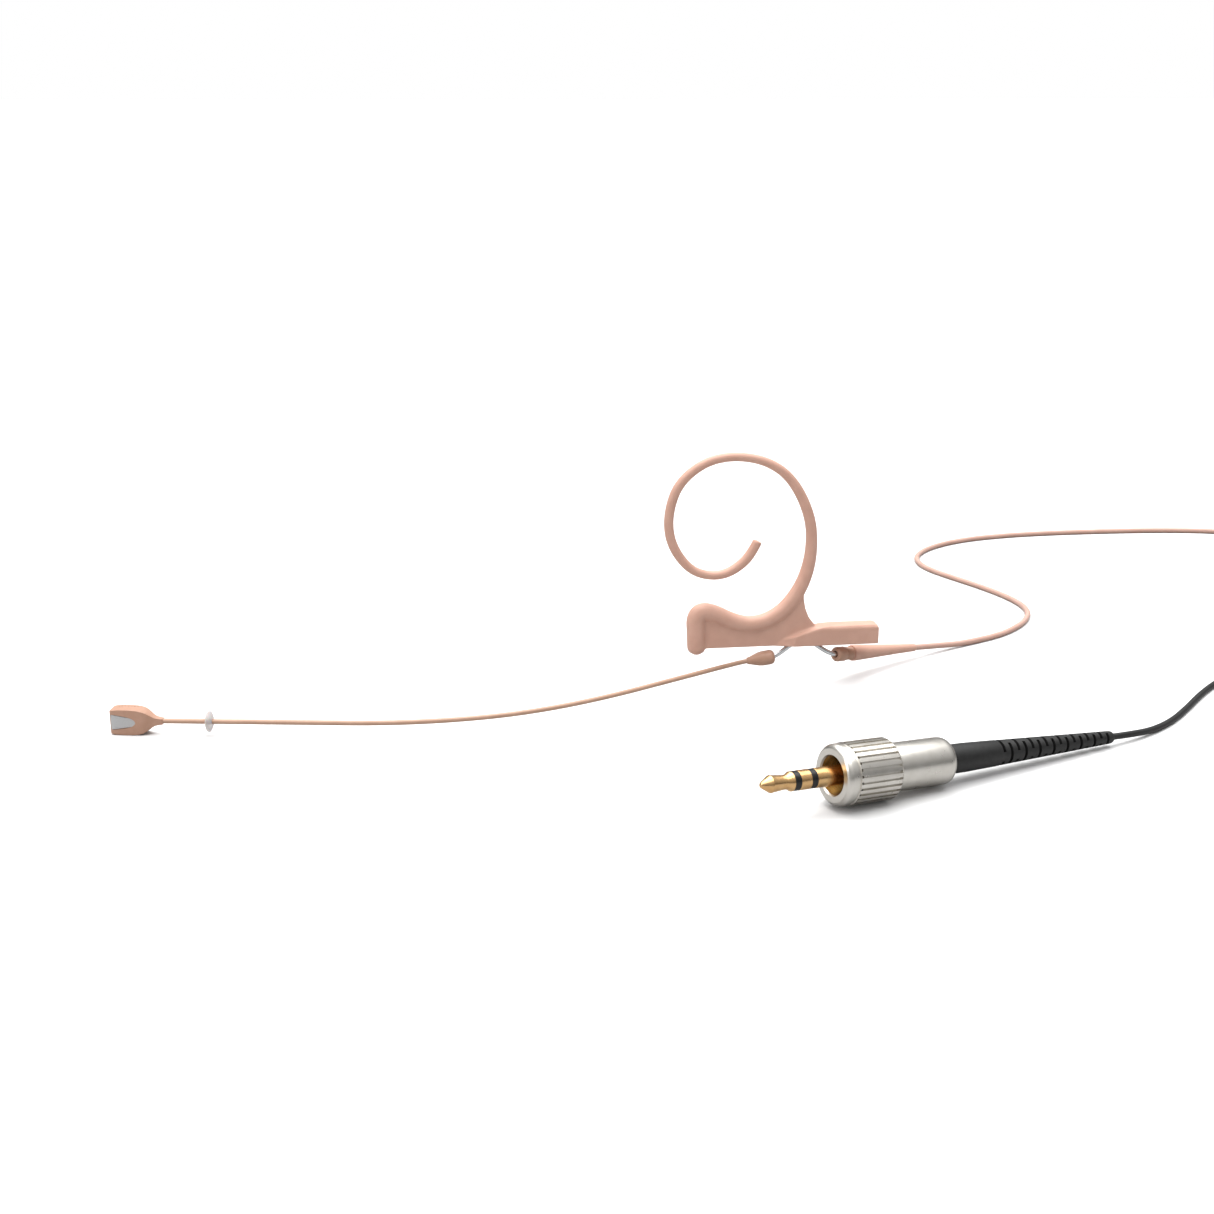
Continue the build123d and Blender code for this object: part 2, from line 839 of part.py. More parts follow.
# Flexible boot: pairs of slots leave two bridges, and every second station is turned a quarter.
boot_from = shell_end - 2.6
slot_first = shell_end + 11.6
slot_pitch = 1.72
slot_width = 0.55
slot_stations = 16
slot_floor_r = 0.85
with BuildPart() as plug_boot:
    add(
        turned(
            plug_side,
            plug_axis,
            [
                (boot_from, lead_r),
                (boot_from, 3.2),
                (shell_end - 1.6, 3.2),
                (shell_end - 1.6, boot_r),
                (shell_end + 4.0, boot_r),
                (boot_end, boot_end_r),
                (boot_end, lead_r),
            ],
        )
    )
    for station in range(slot_stations):
        slot_at = slot_first + station * slot_pitch
        with BuildSketch(plug_face.offset(slot_at).rotated((0, 0, 90 * (station % 2)))):
            with Locations((0, slot_floor_r + 1.2), (0, -slot_floor_r - 1.2)):
                Rectangle(6.0, 2.4)
        extrude(amount=slot_width, mode=Mode.SUBTRACT)

with BuildPart() as plug_stub:
    with BuildSketch(plug_face.offset(17.0)):
        Circle(lead_r)
    extrude(amount=boot_end - 17.0)

# ---------------------------------------------------------------- written pieces
pieces = {
    "head_front": head_front,
    "head_rear": head_rear,
    "head_gasket": head_gasket,
    "head_mesh": head_mesh,
    "capsule": capsule,
    "capsule_felt": capsule_felt,
    "capsule_board": capsule_board,
    "head_collar": head_collar,
    "boom_tube": boom_tube,
    "boom_conductor": boom_conductor,
    "sweat_stop": sweat_stop,
    "boom_sleeve": boom_sleeve,
    "sleeve_crimp": sleeve_crimp,
    "hanger": hanger,
    "relief_ring": relief_ring,
    "relief_bush": relief_bush,
    "relief_crimp": relief_crimp,
    "relief_cone": relief_cone,
    "relief_lead": relief_lead,
    "ear_hook": ear_hook,
    "hook_wire": hook_wire,
    "hook_clip": hook_clip,
    "lead": lead,
    "lead_coil": lead_coil,
    "coil_tie": coil_tie,
    "lead_tail": lead_tail,
    "coupler_boot_front": coupler_boot_front,
    "coupler_plug_shell": coupler_plug_shell,
    "coupler_plug_core": coupler_plug_core,
    "coupler_pin": coupler_pin,
    "coupler_nut": coupler_nut,
    "coupler_socket_shell": coupler_socket_shell,
    "coupler_socket_core": coupler_socket_core,
    "coupler_boot_rear": coupler_boot_rear,
    "plug_lead": plug_lead,
    "plug_tip": plug_tip,
    "plug_insulator_tip": plug_insulator_tip,
    "plug_ring": plug_ring,
    "plug_insulator_sleeve": plug_insulator_sleeve,
    "plug_sleeve": plug_sleeve,
    "plug_terminals": plug_terminals,
    "plug_lock_ring": plug_lock_ring,
    "plug_shell": plug_shell,
    "plug_clamp": plug_clamp,
    "plug_boot": plug_boot,
    "plug_stub": plug_stub,
}
for name, piece in pieces.items():
    piece.part.label = name
    export_step(piece.part, f"parts/{name}.step")
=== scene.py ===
import math
import bpy
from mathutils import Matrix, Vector


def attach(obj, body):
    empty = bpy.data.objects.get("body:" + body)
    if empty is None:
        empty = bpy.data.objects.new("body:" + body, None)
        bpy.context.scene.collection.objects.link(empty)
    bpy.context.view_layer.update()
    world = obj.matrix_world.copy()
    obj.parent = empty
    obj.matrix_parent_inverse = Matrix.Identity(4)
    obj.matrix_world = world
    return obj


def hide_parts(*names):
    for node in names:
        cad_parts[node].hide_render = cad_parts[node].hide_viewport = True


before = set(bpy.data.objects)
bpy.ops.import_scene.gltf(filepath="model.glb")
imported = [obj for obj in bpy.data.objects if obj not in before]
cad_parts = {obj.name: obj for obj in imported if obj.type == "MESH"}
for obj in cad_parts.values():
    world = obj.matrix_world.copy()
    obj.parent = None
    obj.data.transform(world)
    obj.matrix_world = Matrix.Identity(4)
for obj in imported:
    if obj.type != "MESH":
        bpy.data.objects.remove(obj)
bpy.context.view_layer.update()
mm = 0.001
scene = bpy.context.scene


def spot(x, y, z):
    return Vector((x * mm, y * mm, z * mm))


up = Vector((0, 0, 1))
mergeDistance = 0.002 * mm
squareOn = 0.9  # how nearly a picked face has to face a direction, as a cosine


# camera: a 50 mm lens, low in front of the ear hook and a little to its left
cameraSetup = {"place": (-28.3, -319.3, 118.2), "tilt": 17.0, "turn": 7.5, "lens": 50.0, "sensor": 36.0}
bpy.ops.object.camera_add(location=spot(*cameraSetup["place"]))
camera = bpy.context.object
camera.rotation_euler = (math.radians(90 - cameraSetup["tilt"]), 0, math.radians(-cameraSetup["turn"]))
camera.data.lens = cameraSetup["lens"]
camera.data.sensor_width = cameraSetup["sensor"]
camera.data.clip_start = 0.01
scene.camera = camera
scene.view_settings.view_transform = "Standard"
print("camera done")


# materials: one function adds a node, the others are named for real finishes
waveScale = 0.314  # a band wave of this scale repeats once in each unit of length


def hexColour(text):
    values = [int(text[i:i + 2], 16) / 255 for i in (1, 3, 5)]
    linear = [v / 12.92 if v <= 0.04045 else ((v + 0.055) / 1.055) ** 2.4 for v in values]
    return (*linear, 1.0)


def addNode(tree, kind, sockets=None, **settings):
    node = tree.nodes.new(kind)
    for name, value in settings.items():
        setattr(node, name, value)
    for socket, value in (sockets or {}).items():
        if isinstance(value, bpy.types.NodeSocket):
            tree.links.new(value, node.inputs[socket])
        else:
            node.inputs[socket].default_value = value
    return node


def startMaterial(name):
    material = bpy.data.materials.new(name)
    material.use_nodes = True
    tree = material.node_tree
    shader = tree.nodes["Principled BSDF"]
    place = addNode(tree, "ShaderNodeTexCoord").outputs["Object"]
    return material, tree, shader, place


def setShader(shader, **values):
    for name, value in values.items():
        shader.inputs[name.replace("_", " ")].default_value = value


def mottle(tree, place, low, high, size):
    # two close colours mixed by a soft noise, size is the patch width in mm
    noise = addNode(tree, "ShaderNodeTexNoise", {"Vector": place, "Scale": 1 / (size * mm), "Detail": 3.0})
    ramp = addNode(tree, "ShaderNodeValToRGB", {"Fac": noise.outputs["Fac"]})
    ramp.color_ramp.elements[0].position = 0.35
    ramp.color_ramp.elements[1].position = 0.68
    ramp.color_ramp.elements[0].color = hexColour(low)
    ramp.color_ramp.elements[1].color = hexColour(high)
    return ramp.outputs["Color"]


def grainBump(tree, shader, place, size, height):
    # fine relief, size and height in mm
    noise = addNode(tree, "ShaderNodeTexNoise", {"Vector": place, "Scale": 1 / (size * mm), "Detail": 4.0})
    bump = addNode(tree, "ShaderNodeBump", {
        "Height": noise.outputs["Fac"], "Distance": height * mm, "Strength": 0.6})
    tree.links.new(bump.outputs["Normal"], shader.inputs["Normal"])


def roughnessPatches(tree, shader, place, size, low, high):
    # gloss that wanders between two roughness values, size is the patch width in mm
    noise = addNode(tree, "ShaderNodeTexNoise", {"Vector": place, "Scale": 1 / (size * mm), "Detail": 3.0})
    span = addNode(tree, "ShaderNodeMapRange", {"Value": noise.outputs["Fac"], "To Min": low, "To Max": high})
    tree.links.new(span.outputs["Result"], shader.inputs["Roughness"])


def softTpe():
    # injection-moulded elastomer in a skin tone: satin, slightly translucent, fine sparked mould texture
    material, tree, shader, place = startMaterial("skin tone TPE")
    tree.links.new(mottle(tree, place, "#d3a693", "#d9ad9a", 2.5), shader.inputs["Base Color"])
    roughnessPatches(tree, shader, place, 1.2, 0.42, 0.56)
    setShader(shader, Subsurface_Weight=0.06, Subsurface_Scale=0.0006, Subsurface_Radius=(1.0, 0.5, 0.35),
              IOR=1.47)
    grainBump(tree, shader, place, 0.12, 0.006)
    return material


def mouldedAbs():
    # painted ABS of the head and sleeves: a shade browner than the elastomer, eggshell gloss
    material, tree, shader, place = startMaterial("skin tone painted ABS")
    tree.links.new(mottle(tree, place, "#b98f78", "#c09680", 1.8), shader.inputs["Base Color"])
    roughnessPatches(tree, shader, place, 0.8, 0.34, 0.48)
    setShader(shader, IOR=1.5, Coat_Weight=0.12, Coat_Roughness=0.3)
    grainBump(tree, shader, place, 0.08, 0.004)
    return material


def lacqueredTube():
    # stainless boom tube under skin-tone lacquer, smooth, with soft patches of tone and gloss
    material, tree, shader, place = startMaterial("lacquered steel tube")
    tree.links.new(mottle(tree, place, "#b9937c", "#c29c85", 3.0), shader.inputs["Base Color"])
    roughnessPatches(tree, shader, place, 1.5, 0.3, 0.42)
    setShader(shader, IOR=1.5, Coat_Weight=0.25, Coat_Roughness=0.22)
    return material


def leadJacket():
    # extruded soft jacket of the thin lead, matt with a faint dusting
    material, tree, shader, place = startMaterial("skin tone lead jacket")
    tree.links.new(mottle(tree, place, "#c9a293", "#d1ab9c", 4.0), shader.inputs["Base Color"])
    roughnessPatches(tree, shader, place, 2.0, 0.45, 0.6)
    setShader(shader, IOR=1.46, Subsurface_Weight=0.08, Subsurface_Scale=0.0006, Sheen_Weight=0.1)
    grainBump(tree, shader, place, 0.15, 0.005)
    return material


def blackJacket():
    # black extruded PVC, satin
    material, tree, shader, place = startMaterial("black PVC jacket")
    tree.links.new(mottle(tree, place, "#161616", "#1f1f1f", 3.0), shader.inputs["Base Color"])
    roughnessPatches(tree, shader, place, 1.5, 0.38, 0.5)
    setShader(shader, IOR=1.5)
    grainBump(tree, shader, place, 0.15, 0.006)
    return material


def blackBoot():
    # moulded PVC boot, spark-eroded matt texture that scatters light in broad soft highlights
    material, tree, shader, place = startMaterial("moulded black PVC")
    tree.links.new(mottle(tree, place, "#141414", "#1d1d1d", 1.0), shader.inputs["Base Color"])
    roughnessPatches(tree, shader, place, 0.7, 0.42, 0.55)
    setShader(shader, IOR=1.5)
    grainBump(tree, shader, place, 0.1, 0.012)
    return material


def blackInsulator():
    # turned acetal between the contacts, glossy black
    material, tree, shader, place = startMaterial("black acetal")
    tree.links.new(mottle(tree, place, "#0d0d0d", "#151515", 0.6), shader.inputs["Base Color"])
    setShader(shader, Roughness=0.28, IOR=1.48)
    return material


def alongPiece(tree, place, origin, axis):
    # object coordinates turned so that X runs along the piece's own axis
    turn = Vector(axis).normalized().to_track_quat("X", "Z").inverted()
    mapped = addNode(tree, "ShaderNodeMapping", {
        "Vector": place, "Location": -(turn @ Vector(origin)), "Rotation": turn.to_euler()})
    return mapped.outputs["Vector"]


def turnedMetal(name, colour, dark, rough, pitch, depth, origin, axis):
    # plated metal with fine lathe rings: waves of distance along the piece's own axis, pitch in mm
    material, tree, shader, place = startMaterial(name)
    turned = alongPiece(tree, place, origin, axis)
    rings = addNode(tree, "ShaderNodeTexWave", {
        "Vector": turned, "Scale": waveScale / (pitch * mm), "Distortion": 0.6, "Detail": 2.0,
        "Detail Scale": 2.0}, wave_type="BANDS", bands_direction="X")
    bump = addNode(tree, "ShaderNodeBump", {
        "Height": rings.outputs["Fac"], "Distance": depth * mm, "Strength": 0.25})
    tree.links.new(bump.outputs["Normal"], shader.inputs["Normal"])
    tree.links.new(mottle(tree, place, dark, colour, 2.0), shader.inputs["Base Color"])
    roughnessPatches(tree, shader, place, 1.0, rough - 0.05, rough + 0.06)
    setShader(shader, Metallic=1.0)
    return material


def polishedSteel():
    # bright drawn stainless tube, almost a mirror, with faint patches of tone and gloss
    material, tree, shader, place = startMaterial("polished stainless tube")
    tree.links.new(mottle(tree, place, "#d4d6d8", "#e6e8ea", 1.5), shader.inputs["Base Color"])
    roughnessPatches(tree, shader, place, 0.9, 0.08, 0.16)
    setShader(shader, Metallic=1.0)
    return material


def wovenMesh(origin, axis):
    # woven stainless wire cloth, drawn at 0.2 mm pitch, coarser than real so that it shows
    material, tree, shader, place = startMaterial("woven wire cloth")
    turned = alongPiece(tree, place, origin, axis)
    pitch = 0.2
    sides = []
    for direction in ("X", "Z"):
        wave = addNode(tree, "ShaderNodeTexWave", {"Vector": turned, "Scale": waveScale / (pitch * mm)},
                       wave_type="BANDS", bands_direction=direction)
        sides.append(wave.outputs["Fac"])
    weave = addNode(tree, "ShaderNodeMath", {0: sides[0], 1: sides[1]}, operation="MAXIMUM")
    ramp = addNode(tree, "ShaderNodeValToRGB", {"Fac": weave.outputs["Value"]})
    ramp.color_ramp.elements[0].position = 0.3
    ramp.color_ramp.elements[1].position = 0.85
    ramp.color_ramp.elements[0].color = hexColour("#8e8d8d")
    ramp.color_ramp.elements[1].color = hexColour("#dededf")
    tree.links.new(ramp.outputs["Color"], shader.inputs["Base Color"])
    bump = addNode(tree, "ShaderNodeBump", {
        "Height": weave.outputs["Value"], "Distance": 0.05 * mm, "Strength": 0.9})
    tree.links.new(bump.outputs["Normal"], shader.inputs["Normal"])
    setShader(shader, Metallic=0.35, Roughness=0.5)
    return material


def milkySilicone():
    # clear silicone that has gone milky, light passes through its rim
    material, tree, shader, place = startMaterial("milky silicone")
    tree.links.new(mottle(tree, place, "#dcd6d4", "#e6e1df", 1.0), shader.inputs["Base Color"])
    setShader(shader, Roughness=0.3, IOR=1.2, Transmission_Weight=0.3, Subsurface_Weight=0.3,
              Subsurface_Scale=0.001, Alpha=0.72)
    grainBump(tree, shader, place, 0.3, 0.004)
    return material


def feltPad():
    # black acoustic felt, short fibres
    material, tree, shader, place = startMaterial("acoustic felt")
    tree.links.new(mottle(tree, place, "#101010", "#262626", 0.15), shader.inputs["Base Color"])
    setShader(shader, Roughness=0.95, Sheen_Weight=0.3)
    grainBump(tree, shader, place, 0.08, 0.03)
    return material


def circuitBoard():
    # green solder mask over glass epoxy
    material, tree, shader, place = startMaterial("solder mask")
    tree.links.new(mottle(tree, place, "#0f4a2a", "#1a6238", 0.6), shader.inputs["Base Color"])
    setShader(shader, Roughness=0.35)
    return material


# where the plug, the head and the coupler lie, and which way each one points; the plug dips to its back
plugFront = spot(44.7, -59.2, 6.28)
plugTurn = math.radians(20)
plugDip = math.radians(4)
plugLevel = math.cos(plugDip)
plugDir = Vector((math.cos(plugTurn) * plugLevel, math.sin(plugTurn) * plugLevel, -math.sin(plugDip)))
headNeck = spot(-73.8, -7.4, 2.6)
boomLastBend = spot(-34.7, -15.9, 3.4)
boomEndDir = (headNeck - boomLastBend).normalized()
headDir = (headNeck - boomLastBend).to_2d().to_3d().normalized()
couplerFront = spot(166.0, 14.3, 2.3)
couplerTurn = math.radians(60)
couplerDir = Vector((math.cos(couplerTurn), math.sin(couplerTurn), 0))

finishes = {
    "soft": softTpe(),
    "abs": mouldedAbs(),
    "tube": lacqueredTube(),
    "jacket": leadJacket(),
    "blackJacket": blackJacket(),
    "boot": blackBoot(),
    "insulator": blackInsulator(),
    "steel": polishedSteel(),
    "nickel": turnedMetal("satin nickel plate", "#e4e0d9", "#dcd8d0", 0.29, 0.3, 0.0012, plugFront, plugDir),
    "gold": turnedMetal(
        "gold plate on turned brass", "#e8c08a", "#dfb27a", 0.23, 0.25, 0.001, plugFront, plugDir),
    "couplerNickel": turnedMetal(
        "nickel plate", "#d9d5cd", "#cbc6bd", 0.28, 0.08, 0.001, couplerFront, couplerDir),
    "cloth": wovenMesh(headNeck, headDir),
    "silicone": milkySilicone(),
    # the thread's brass tones are darkened well below real brass: painted shade of the deep bore over a real
    # brass colour
    "brass": turnedMetal("brass thread darkened as painted shade", "#96713a", "#6b4d26", 0.38, 0.25, 0.001, plugFront, plugDir),
    "felt": feltPad(),
    "board": circuitBoard(),
}
print("materials done")


def dress(thing, finish):
    thing.data.materials.clear()
    thing.data.materials.append(finishes[finish])
    return thing


nodeFinish = {
    "head_gasket": "insulator", "head_mesh": "cloth", "capsule": "steel", "capsule_felt": "felt",
    "capsule_board": "board", "head_front": "abs", "head_rear": "abs", "head_collar": "abs",
    "boom_tube": "tube", "boom_conductor": "gold", "sweat_stop": "silicone", "boom_sleeve": "abs",
    "sleeve_crimp": "steel", "hanger": "steel", "relief_ring": "abs", "relief_bush": "abs",
    "relief_crimp": "steel", "relief_cone": "soft", "relief_lead": "jacket", "ear_hook": "soft",
    "hook_wire": "steel", "hook_clip": "abs", "coil_tie": "boot", "coupler_boot_front": "boot",
    "coupler_plug_shell": "couplerNickel", "coupler_plug_core": "insulator", "coupler_pin": "gold",
    "coupler_nut": "couplerNickel", "coupler_socket_shell": "couplerNickel",
    "coupler_socket_core": "insulator", "coupler_boot_rear": "soft", "plug_tip": "gold",
    "plug_insulator_tip": "insulator", "plug_ring": "gold", "plug_insulator_sleeve": "insulator",
    "plug_sleeve": "gold", "plug_terminals": "insulator", "plug_lock_ring": "nickel",
    "plug_shell": "nickel", "plug_clamp": "steel", "plug_boot": "boot", "plug_stub": "blackJacket",
}
for name, finish in nodeFinish.items():
    dress(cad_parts[name], finish)

# the two cords: smooth curves on the routes of the model, and the coil's turns as more points
cordSizes = {
    "diameter": 1.3, "coilCentre": (190.0, 54.0), "coilRadius": 7.15, "wide": 5, "high": 4,
    "lift": 0.4,  # the tie's strap passes below the coil
    "steps": 16,  # places in each turn
    "crossing": 0.6,  # the share of a turn before it moves over to the next
    "insideBoot": (50, 34, 17.5),
}
leadRoute = [
    (83.5, 17.35, 2.5), (88.9, 20.4, 1.65), (95.0, 23.2, 0.85), (101.5, 26.1, 0.65),
    (108.0, 29.6, 0.65), (113.4, 34.3, 0.65), (117.6, 39.6, 0.65), (120.2, 45.4, 0.65),
    (120.6, 51.8, 0.65), (119.2, 58.9, 0.65), (115.6, 68.2, 0.65), (111.3, 77.0, 0.65),
    (108.3, 84.0, 0.65), (107.4, 90.6, 0.65), (109.0, 97.0, 0.65), (113.2, 102.9, 0.65),
    (120.0, 108.3, 0.65), (129.5, 112.6, 0.65), (141.4, 115.0, 0.65), (155.0, 115.9, 0.65),
    (171.0, 115.6, 0.65), (187.0, 114.5, 0.65), (200.5, 111.6, 0.65), (209.0, 106.2, 0.65),
    (213.3, 98.8, 0.65), (213.6, 90.5, 0.65), (210.2, 82.0, 0.65), (205.0, 74.0, 0.75),
    (201.0, 66.5, 1.05), (199.8, 60.5, 1.05),
]
tailRoute = [
    (196.3, 45.6, 4.95), (193.2, 43.0, 4.1), (189.6, 41.6, 2.7), (186.2, 40.9, 1.6), (182.6, 40.2, 1.6),
    (179.8, 38.2, 2.3), (178.0, 35.08, 2.3),
]
plugLeadRoute = [
    (166.0, 14.3, 2.3), (163.75, 10.4, 2.3), (160.3, 6.5, 1.1), (155.2, 2.6, 0.65), (148.0, -2.2, 0.65),
    (140.4, -7.9, 0.65), (133.6, -14.6, 0.65), (127.2, -21.9, 0.65), (121.2, -28.1, 0.65),
    (115.2, -32.6, 0.8), (109.29, -35.69, 1.47), (104.6, -37.4, 1.82),
]


def coilTurns():
    # layers of turns laid side by side, inwards and outwards in turn
    diameter = cordSizes["diameter"]
    steps = cordSizes["steps"]
    outer = cordSizes["coilRadius"] + (cordSizes["wide"] - 1) * diameter / 2
    turns = []
    for turn in range(cordSizes["wide"] * cordSizes["high"]):
        layer, column = divmod(turn, cordSizes["wide"])
        place = column if layer % 2 == 0 else cordSizes["wide"] - 1 - column
        turns.append((outer - place * diameter, cordSizes["lift"] + diameter * (layer + 0.5)))
    points = []
    for index, (radius, height) in enumerate(turns):
        nextRadius, nextHeight = turns[min(index + 1, len(turns) - 1)]
        for step in range(steps):
            share = max(0.0, (step / steps - cordSizes["crossing"]) / (1 - cordSizes["crossing"]))
            angle = -2 * math.pi * step / steps
            wide = (radius + (nextRadius - radius) * share) / math.cos(math.pi / steps)
            points.append((
                cordSizes["coilCentre"][0] + wide * math.cos(angle),
                cordSizes["coilCentre"][1] + wide * math.sin(angle),
                height + (nextHeight - height) * share,
            ))
    lastRadius, lastHeight = turns[-1]
    for degrees in (0, -20):  # the last turn closes and starts to leave
        points.append((
            cordSizes["coilCentre"][0] + lastRadius * math.cos(math.radians(degrees)),
            cordSizes["coilCentre"][1] + lastRadius * math.sin(math.radians(degrees)),
            lastHeight,
        ))
    return points


def curveAlong(name, route, diameter, sizes=None, smoothness=6, sides=5):
    # a round curve drawn through given places in mm; sizes scale its radius place by place
    data = bpy.data.curves.new(name, "CURVE")
    data.dimensions = "3D"
    line = data.splines.new("NURBS")
    line.points.add(len(route) - 1)
    for index, place in enumerate(route):
        line.points[index].co = (*spot(*place), 1)
        line.points[index].radius = sizes[index] if sizes else 1.0
    line.order_u = 3
    line.use_endpoint_u = True
    line.resolution_u = smoothness
    data.bevel_depth = diameter / 2 * mm
    data.bevel_resolution = sides
    data.use_fill_caps = True
    thing = bpy.data.objects.new(name, data)
    scene.collection.objects.link(thing)
    return thing


beigeRoute = leadRoute + coilTurns() + tailRoute
beigeLead = dress(curveAlong("beigeLead", beigeRoute, cordSizes["diameter"]), "jacket")
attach(beigeLead, "microphone")
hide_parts("lead", "lead_coil", "lead_tail")
# the black lead runs on through the boot to the clamp inside the plug
insideBoot = [tuple((plugFront + plugDir * inside * mm) / mm) for inside in cordSizes["insideBoot"]]
blackRoute = plugLeadRoute + insideBoot
blackLead = dress(curveAlong("blackLead", blackRoute, cordSizes["diameter"]), "blackJacket")
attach(blackLead, "microphone")
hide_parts("plug_lead", "plug_stub")
print("cords done")


# tools for the modelled pieces
def clearSelection():
    bpy.ops.object.select_all(action="DESELECT")


def pickFaces(thing, test):
    # selects the faces whose centre passes the test, ready for an edit-mode tool
    bpy.ops.object.mode_set(mode="EDIT")
    bpy.ops.mesh.select_mode(type="FACE")
    bpy.ops.mesh.select_all(action="DESELECT")
    bpy.ops.object.mode_set(mode="OBJECT")
    for face in thing.data.polygons:
        face.select = test(face.center, face.normal)
    bpy.ops.object.mode_set(mode="EDIT")


def applyAll(thing):
    bpy.context.view_layer.objects.active = thing
    for modifier in list(thing.modifiers):
        bpy.ops.object.modifier_apply(modifier=modifier.name)


def settle(thing, name, smoothAngle=35):
    bpy.ops.object.mode_set(mode="OBJECT")
    clearSelection()
    thing.select_set(True)
    bpy.context.view_layer.objects.active = thing
    bpy.ops.object.transform_apply(location=True, rotation=True, scale=True)
    bpy.ops.object.shade_smooth_by_angle(angle=math.radians(smoothAngle))
    thing.name = name
    return thing


def lineOf(points):
    # one point pulled out of a small plane, then extruded from place to place
    clearSelection()
    bpy.ops.mesh.primitive_plane_add(size=mm, location=points[0])
    thing = bpy.context.object
    bpy.ops.object.mode_set(mode="EDIT")
    bpy.ops.mesh.select_mode(type="VERT")
    bpy.ops.mesh.select_all(action="SELECT")
    bpy.ops.mesh.merge(type="CENTER")
    for before, after in zip(points, points[1:]):
        bpy.ops.mesh.extrude_region_move(TRANSFORM_OT_translate={"value": after - before})
    return thing


def turnedPiece(name, profile, origin, axis, steps=48, smoothAngle=35):
    # profile of (distance along the axis, radius) in mm, spun round the axis
    axis = Vector(axis).normalized()
    across = axis.cross(up).normalized()
    points = [Vector(origin) + axis * along * mm + across * radius * mm for along, radius in profile]
    thing = lineOf(points)
    bpy.ops.mesh.select_all(action="SELECT")
    bpy.ops.mesh.spin(steps=steps, angle=2 * math.pi, center=origin, axis=axis)
    bpy.ops.mesh.select_all(action="SELECT")
    bpy.ops.mesh.remove_doubles(threshold=mergeDistance)
    bpy.ops.mesh.normals_make_consistent(inside=False)
    return settle(thing, name, smoothAngle)


def roundTube(name, route, diameter, sizes=None, sides=7):
    # the same curve made a mesh, closed at both ends
    clearSelection()
    thing = curveAlong(name, route, diameter, sizes, smoothness=10, sides=sides)
    thing.select_set(True)
    bpy.context.view_layer.objects.active = thing
    bpy.ops.object.convert(target="MESH")
    thing = bpy.context.object
    bpy.ops.object.mode_set(mode="EDIT")
    bpy.ops.mesh.select_all(action="SELECT")
    bpy.ops.mesh.remove_doubles(threshold=mergeDistance)
    bpy.ops.mesh.normals_make_consistent(inside=False)
    return settle(thing, name, 50)


def prism(name, outline, depthVector):
    # flat outline filled, then extruded through the depth
    thing = lineOf([*outline, outline[0]])
    bpy.ops.mesh.select_all(action="SELECT")
    bpy.ops.mesh.remove_doubles(threshold=mergeDistance)
    bpy.ops.mesh.edge_face_add()
    bpy.ops.mesh.extrude_region_move(TRANSFORM_OT_translate={"value": depthVector})
    bpy.ops.mesh.select_all(action="SELECT")
    bpy.ops.mesh.normals_make_consistent(inside=False)
    return settle(thing, name)


def combine(thing, other, operation):
    modifier = thing.modifiers.new("cut", "BOOLEAN")
    modifier.operation = operation
    modifier.object = other
    modifier.solver = "EXACT"
    applyAll(thing)
    bpy.data.objects.remove(other)


def joinAll(things, name):
    clearSelection()
    for thing in things:
        thing.select_set(True)
    bpy.context.view_layer.objects.active = things[0]
    bpy.ops.object.join()
    joined = bpy.context.object
    joined.name = name
    return joined


def fuse(thing, voxel, rounds):
    # one skin over overlapping solids, then a few rounds of smoothing that leave soft inner corners
    remesh = thing.modifiers.new("skin", "REMESH")
    remesh.mode = "VOXEL"
    remesh.voxel_size = voxel * mm
    soften = thing.modifiers.new("soften", "SMOOTH")
    soften.factor = 0.5
    soften.iterations = rounds
    applyAll(thing)


def finishPiece(thing, finish, recordSlot, body, *nodes):
    dress(thing, finish)
    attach(thing, body)
    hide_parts(*nodes)
    return thing


# ear hook: a tapered soft tube, a thin web below it and a bar that hides the hanger's slot
hookForm = {
    "x": 14.7, "y": 5.25, "webHalf": 0.75, "barHalf": 1.9, "slotHalf": 1.08, "barEdge": 0.8, "voxel": 0.15,
    "soften": 7, "rampEnd": 44, "ramp": 2.4, "toeRamp": 1.5, "toeTop": 9,
}


def hookSpot(x, z, y=0.0):
    # x and y from the hook's own corner, z above the table
    return (hookForm["x"] + x, hookForm["y"] + y, z)


# places along the loop from its free end, with the tube's radius at each
hookLine = [
    (30.6, 30.9, 0.98), (29.4, 28.4, 1.03), (27.3, 26.0, 1.03), (24.1, 24.1, 0.97), (20.5, 23.9, 0.92),
    (17.0, 25.2, 0.92), (14.3, 28.2, 0.98), (12.6, 31.7, 1.0), (12.1, 35.5, 1.0), (12.7, 39.4, 1.0),
    (14.0, 42.7, 1.0), (16.5, 45.5, 0.98), (20.3, 47.8, 0.94), (25.0, 48.6, 0.92), (29.9, 48.0, 0.92),
    (33.8, 46.4, 0.96), (36.9, 43.9, 1.02), (39.6, 39.8, 1.1), (41.5, 34.8, 1.15), (41.9, 30.2, 1.22),
    (41.5, 25.6, 1.36), (40.1, 21.2, 1.48), (37.8, 17.5, 1.58), (35.0, 14.9, 1.6), (31.6, 13.4, 1.64),
    (28.0, 13.3, 1.68), (24.6, 14.5, 1.74), (22.0, 15.9, 1.79), (19.2, 16.6, 1.82), (17.9, 15.0, 1.88),
    (18.15, 12.0, 1.93), (18.25, 9.2, 1.95), (18.3, 8.2, 1.85), (18.3, 7.6, 1.4), (18.3, 7.2, 0.6),
]
hookTube = roundTube("hookTube", [hookSpot(x, z) for x, z, _ in hookLine], 2.0,
                     sizes=[radius for _, _, radius in hookLine], sides=8)


def hookPrism(name, outline, half):
    return prism(name, [spot(*hookSpot(x, z, -half)) for x, z in outline], spot(0, 2 * half, 0))


